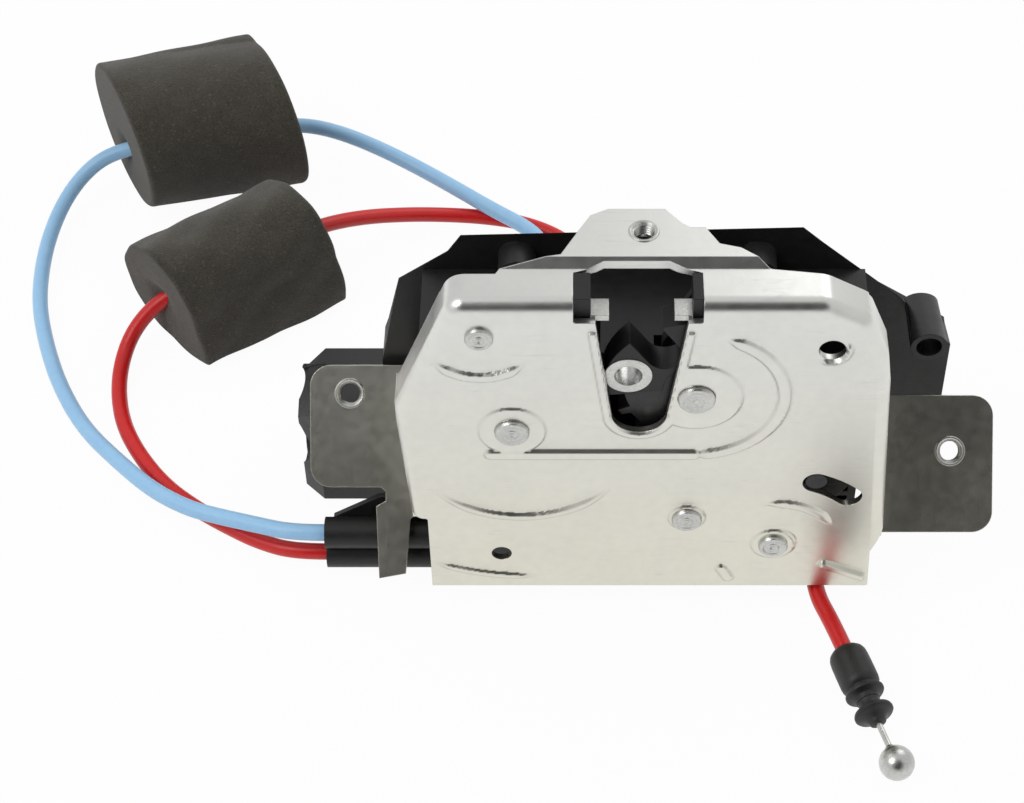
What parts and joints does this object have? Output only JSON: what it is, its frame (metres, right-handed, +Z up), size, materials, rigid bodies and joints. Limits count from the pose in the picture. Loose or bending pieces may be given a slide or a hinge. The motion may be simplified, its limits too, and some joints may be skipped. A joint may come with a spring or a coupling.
{
  "type": "tailgate lock",
  "caption": "Rotary catch lock on a pressed steel plate with ears, closing drive behind it, short release cable with ball, and two jacketed cables in foam sleeves.",
  "frame": {"origin": "on the standing surface, under the middle of the striker slot, in the plane of the lock plate's front face", "axes": "+X right seen from the front, +Y away from the plate's front face towards the drive, +Z up along the striker's path"},
  "size_m": [0.3015, 0.277, 0.1293],
  "materials": {
    "zinc_steel": "zinc plated, greenish beige sheen",
    "bright_steel": "bright plated",
    "blued_steel": "dark heat treated",
    "black_plastic": "fine moulded grain",
    "grey_plastic": "moulded, slightly worn",
    "foam": "open cell foam, dark olive grey",
    "rubber": "moulded",
    "blue_jacket": "pale blue cable jacket",
    "red_jacket": "red cable jacket",
    "pale_plastic": "pale grey, slightly dirty",
    "brass": "turned"
  },
  "bodies": {
    "frame": {"lock_plate": "zinc_steel", "back_plate": "zinc_steel", "catch_rivet": "bright_steel", "pawl_rivet": "bright_steel", "transfer_rivet": "bright_steel", "release_rivet": "bright_steel", "corner_rivet": "bright_steel", "mouth_guides": "black_plastic", "guide_lugs": "bright_steel", "catch_buffer": "rubber", "catch_spring": "bright_steel", "pawl_spring": "bright_steel", "release_spring": "bright_steel", "catch_switch": "black_plastic", "pawl_switch": "black_plastic", "housing": "grey_plastic", "housing_screws": "bright_steel", "drive_case": "grey_plastic", "case_screws": "bright_steel", "drive_cover": "grey_plastic", "cover_screws": "bright_steel", "entry_bushes": "rubber", "connector_socket": "black_plastic", "connector_pins": "brass", "motor_can": "bright_steel", "motor_cap": "black_plastic", "worm_bushes": "brass", "cable_gland": "grey_plastic", "gland_bracket": "zinc_steel", "blue_cable": "blue_jacket", "red_cable": "red_jacket", "foam_upper": "foam", "foam_lower": "foam", "release_cable": "red_jacket", "sheath_seat": "grey_plastic", "end_boot": "rubber", "end_grommet": "rubber"},
    "catch": {"catch_plate": "blued_steel", "catch_coating": "black_plastic", "catch_pin": "bright_steel"},
    "pawl": {"pawl_plate": "blued_steel", "pawl_pin": "bright_steel"},
    "transfer": {"transfer_lever": "blued_steel"},
    "release": {"release_lever": "blued_steel", "lever_pins": "blued_steel", "cable_nipple": "bright_steel"},
    "catch_button": {"catch_plunger": "pale_plastic"},
    "pawl_button": {"pawl_plunger": "pale_plastic"},
    "worm": {"worm_shaft": "bright_steel"},
    "drive": {"drive_wheel": "pale_plastic", "wheel_axle": "bright_steel", "drive_pinion": "blued_steel"},
    "closer": {"closing_lever": "blued_steel"},
    "wire": {"inner_wire": "bright_steel"},
    "pull": {"pull_wire": "bright_steel", "ball_end": "pale_plastic"}
  },
  "joints": [
    {"name": "catch_pivot", "type": "hinge", "parent": "frame", "child": "catch", "pos_m": [0.0152, 0.007, 0.0919], "axis": [0, -1, 0], "range_deg": [0, 63], "stiffness_Nm_per_rad": 0.02},
    {"name": "release_pivot", "type": "hinge", "parent": "frame", "child": "release", "pos_m": [0.0394, 0.0057, 0.0289], "axis": [0, 1, 0], "range_deg": [0, 22], "stiffness_Nm_per_rad": 0.05},
    {"name": "transfer_pivot", "type": "hinge", "parent": "frame", "child": "transfer", "pos_m": [0.0143, 0.0125, 0.0408], "axis": [0, -1, 0], "range_deg": [0, 10.9]},
    {"name": "pawl_pivot", "type": "hinge", "parent": "frame", "child": "pawl", "pos_m": [-0.0344, 0.007, 0.0784], "axis": [0, 1, 0], "range_deg": [0, 11.5]},
    {"name": "wire_slide", "type": "slide", "parent": "frame", "child": "wire", "axis": [0, 0, -1], "range_m": [0, 0.0055]},
    {"name": "pull_slide", "type": "slide", "parent": "frame", "child": "pull", "axis": [0.289, -0.9573, 0], "range_m": [0, 0.0055]},
    {"name": "catch_button_slide", "type": "slide", "parent": "frame", "child": "catch_button", "axis": [1, 0, 0], "range_m": [0, 0.0012], "stiffness_N_per_m": 200},
    {"name": "pawl_button_slide", "type": "slide", "parent": "frame", "child": "pawl_button", "axis": [0, 0, -1], "range_m": [0, 0.0012], "stiffness_N_per_m": 200},
    {"name": "drive_spin", "type": "hinge", "parent": "frame", "child": "drive", "pos_m": [0.018, 0.058, 0.04625], "axis": [0, 1, 0], "range_deg": [0, 120]},
    {"name": "worm_spin", "type": "hinge", "parent": "frame", "child": "worm", "pos_m": [0, 0.058, 0.0195], "axis": [1, 0, 0], "range_deg": [0, 3600]},
    {"name": "closer_pivot", "type": "hinge", "parent": "frame", "child": "closer", "pos_m": [0.0152, 0.0193, 0.0919], "axis": [0, -1, 0], "range_deg": [0, 30]}
  ],
  "couplings": [
    {"joint": "transfer_pivot", "follows": "release_pivot", "ratio": 0.4954},
    {"joint": "pawl_pivot", "follows": "release_pivot", "ratio": 0.5227},
    {"joint": "wire_slide", "follows": "release_pivot", "m_per_rad": 0.01432},
    {"joint": "pull_slide", "follows": "release_pivot", "m_per_rad": 0.01432},
    {"joint": "worm_spin", "follows": "drive_spin", "ratio": 30},
    {"joint": "closer_pivot", "follows": "drive_spin", "ratio": 0.25}
  ]
}
